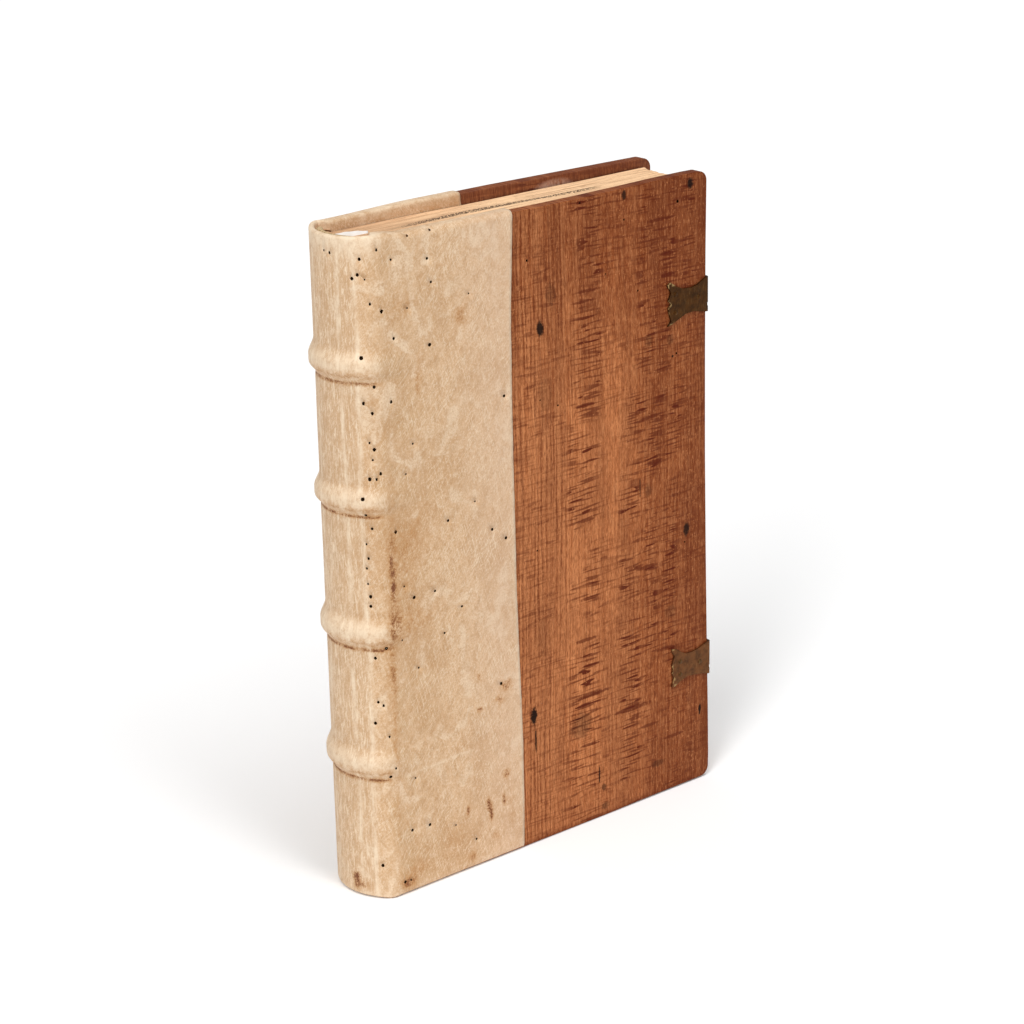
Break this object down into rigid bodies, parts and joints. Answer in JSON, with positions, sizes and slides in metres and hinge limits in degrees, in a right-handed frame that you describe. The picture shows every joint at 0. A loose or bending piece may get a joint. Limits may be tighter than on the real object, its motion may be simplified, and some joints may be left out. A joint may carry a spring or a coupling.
{
  "type": "antique book",
  "caption": "Old folio in a quarter binding: wooden boards on a skin-covered spine with raised bands and brass catches.",
  "frame": {"origin": "middle of the ground under the book, which stands on its tail", "axes": "+X from the spine to the fore-edge, +Y from the front board to the back board, +Z from tail to head"},
  "size_m": [0.2052, 0.0428, 0.3006],
  "materials": {
    "leaves": "matt, toned",
    "slip_paper": "matt",
    "pastedown": "matt, toned",
    "skin": "worn, satin",
    "support_skin": "matt",
    "parchment": "matt",
    "endband_cord": "matt",
    "board_wood": "polished, worn",
    "peg_wood": "matt",
    "dark_brass": "tarnished",
    "worn_brass": "worn",
    "nail_brass": "worn"
  },
  "bodies": {
    "leaves_and_spine": {"text_block": "leaves", "head_endband_core": "endband_cord", "tail_endband_core": "endband_cord", "paper_slip": "slip_paper", "spine_skin": "skin", "spine_lining_1": "parchment", "spine_lining_2": "parchment", "spine_lining_3": "parchment", "spine_lining_4": "parchment", "spine_lining_5": "parchment", "sewing_support_1": "support_skin", "sewing_support_2": "support_skin", "sewing_support_3": "support_skin", "sewing_support_4": "support_skin"},
    "front_cover": {"front_board": "board_wood", "front_board_skin": "skin", "front_pastedown": "pastedown", "front_slip_1": "support_skin", "front_slip_2": "support_skin", "front_slip_3": "support_skin", "front_slip_4": "support_skin", "front_peg_1": "peg_wood", "front_peg_2": "peg_wood", "front_peg_3": "peg_wood", "front_peg_4": "peg_wood", "lower_catch": "worn_brass", "lower_catch_nail_1": "nail_brass", "lower_catch_nail_2": "nail_brass", "lower_catch_nail_3": "nail_brass", "upper_catch": "dark_brass", "upper_catch_nail_1": "nail_brass", "upper_catch_nail_2": "nail_brass", "upper_catch_nail_3": "nail_brass"},
    "back_cover": {"back_board": "board_wood", "back_board_skin": "skin", "back_pastedown": "pastedown", "back_slip_1": "support_skin", "back_slip_2": "support_skin", "back_slip_3": "support_skin", "back_slip_4": "support_skin", "back_peg_1": "peg_wood", "back_peg_2": "peg_wood", "back_peg_3": "peg_wood", "back_peg_4": "peg_wood"}
  },
  "joints": [
    {"name": "front_joint", "type": "hinge", "parent": "leaves_and_spine", "child": "front_cover", "pos_m": [-0.08532, -0.02141, 0.1503], "axis": [0, 0, -1], "range_deg": [0, 170]},
    {"name": "back_joint", "type": "hinge", "parent": "leaves_and_spine", "child": "back_cover", "pos_m": [-0.08532, 0.02159, 0.1503], "axis": [0, 0, 1], "range_deg": [0, 170]}
  ]
}
